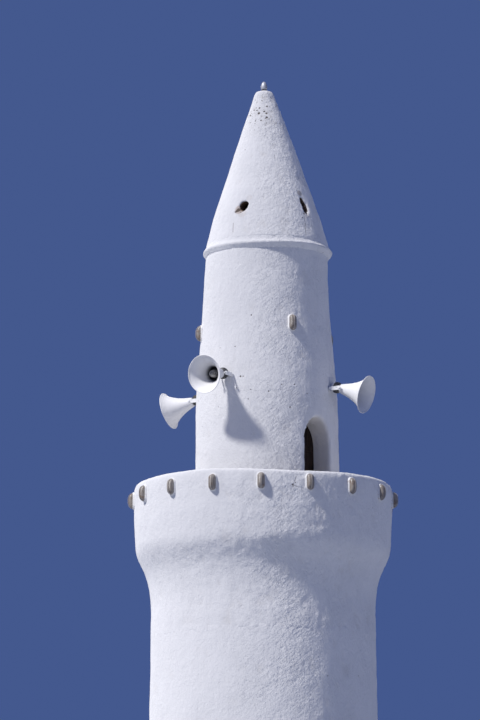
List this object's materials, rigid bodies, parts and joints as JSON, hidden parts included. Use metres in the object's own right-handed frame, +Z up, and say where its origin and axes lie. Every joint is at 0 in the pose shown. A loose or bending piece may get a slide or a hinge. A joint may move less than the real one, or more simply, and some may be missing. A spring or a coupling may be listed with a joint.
{
  "type": "minaret",
  "caption": "Whitewashed round minaret with a bowl-shaped gallery, arched doorway, hollow conical cap, oval lamps and tilting horn loudspeakers.",
  "frame": {"origin": "the tower's axis at ground level, on the underside of the ground floor", "axes": "+Z up along the tower; -Y the side seen in the picture; +X to its right"},
  "size_m": [3.4657, 3.4554, 14.03],
  "materials": {
    "whitewash": "matte",
    "floor_screed": "matte",
    "lamp_glass": "satin",
    "lamp_guard": "satin",
    "horn_white": "satin",
    "driver_black": "satin",
    "bracket_steel": "satin",
    "finial_metal": "satin",
    "door_wood": "matte"
  },
  "bodies": {
    "tower": {"tower_wall_front": "whitewash", "tower_wall_left": "whitewash", "tower_wall_right": "whitewash", "tower_wall_over_doorway": "whitewash", "ground_floor": "floor_screed", "gallery_floor": "floor_screed", "bowl_front": "whitewash", "bowl_right": "whitewash", "bowl_back": "whitewash", "bowl_left": "whitewash", "parapet_front": "whitewash", "parapet_right": "whitewash", "parapet_back": "whitewash", "parapet_left": "whitewash", "shaft_wall_front": "whitewash", "shaft_wall_right": "whitewash", "shaft_wall_back": "whitewash", "shaft_wall_left": "whitewash", "shaft_wall_over_doorway": "whitewash", "ring_moulding": "whitewash", "cone_cap_front": "whitewash", "cone_cap_right": "whitewash", "cone_cap_back_right": "whitewash", "cone_cap_back": "whitewash", "cone_cap_tip": "whitewash", "finial": "finial_metal", "gallery_door_leaf": "door_wood", "drum_lamp_01": "lamp_glass", "drum_lamp_02": "lamp_glass", "drum_lamp_03": "lamp_glass", "drum_lamp_04": "lamp_glass", "drum_lamp_05": "lamp_glass", "drum_lamp_06": "lamp_glass", "drum_lamp_07": "lamp_glass", "drum_lamp_08": "lamp_glass", "drum_lamp_09": "lamp_glass", "drum_lamp_10": "lamp_glass", "drum_lamp_11": "lamp_glass", "drum_lamp_12": "lamp_glass", "drum_lamp_13": "lamp_glass", "drum_lamp_14": "lamp_glass", "drum_lamp_15": "lamp_glass", "drum_lamp_16": "lamp_glass", "drum_lamp_17": "lamp_glass", "shaft_lamp_1": "lamp_glass", "shaft_lamp_2": "lamp_glass", "shaft_lamp_3": "lamp_glass", "shaft_lamp_4": "lamp_glass", "horn_a_bracket": "bracket_steel", "horn_b_bracket": "bracket_steel", "horn_c_bracket": "bracket_steel", "horn_d_bracket": "bracket_steel"},
    "horn_a": {"horn_a_bell": "horn_white", "horn_a_driver": "driver_black"},
    "horn_b": {"horn_b_bell": "horn_white", "horn_b_driver": "driver_black"},
    "horn_c": {"horn_c_bell": "horn_white", "horn_c_driver": "driver_black"},
    "horn_d": {"horn_d_bell": "horn_white", "horn_d_driver": "driver_black"}
  },
  "joints": [
    {"name": "horn_a_tilt", "type": "hinge", "parent": "tower", "child": "horn_a", "pos_m": [-0.92493, 0.43317, 9.808], "axis": [-0.4067, -0.9135, 0], "range_deg": [-25, 20]},
    {"name": "horn_b_tilt", "type": "hinge", "parent": "tower", "child": "horn_b", "pos_m": [-0.54754, -0.88292, 9.92], "axis": [0.829, -0.5592, 0], "range_deg": [-25, 20]},
    {"name": "horn_c_tilt", "type": "hinge", "parent": "tower", "child": "horn_c", "pos_m": [1.01322, -0.45009, 9.805], "axis": [0.4226, 0.9063, 0], "range_deg": [-25, 20]},
    {"name": "horn_d_tilt", "type": "hinge", "parent": "tower", "child": "horn_d", "pos_m": [0.49809, 0.96522, 9.85], "axis": [-0.9063, 0.4226, 0], "range_deg": [-25, 20]}
  ]
}
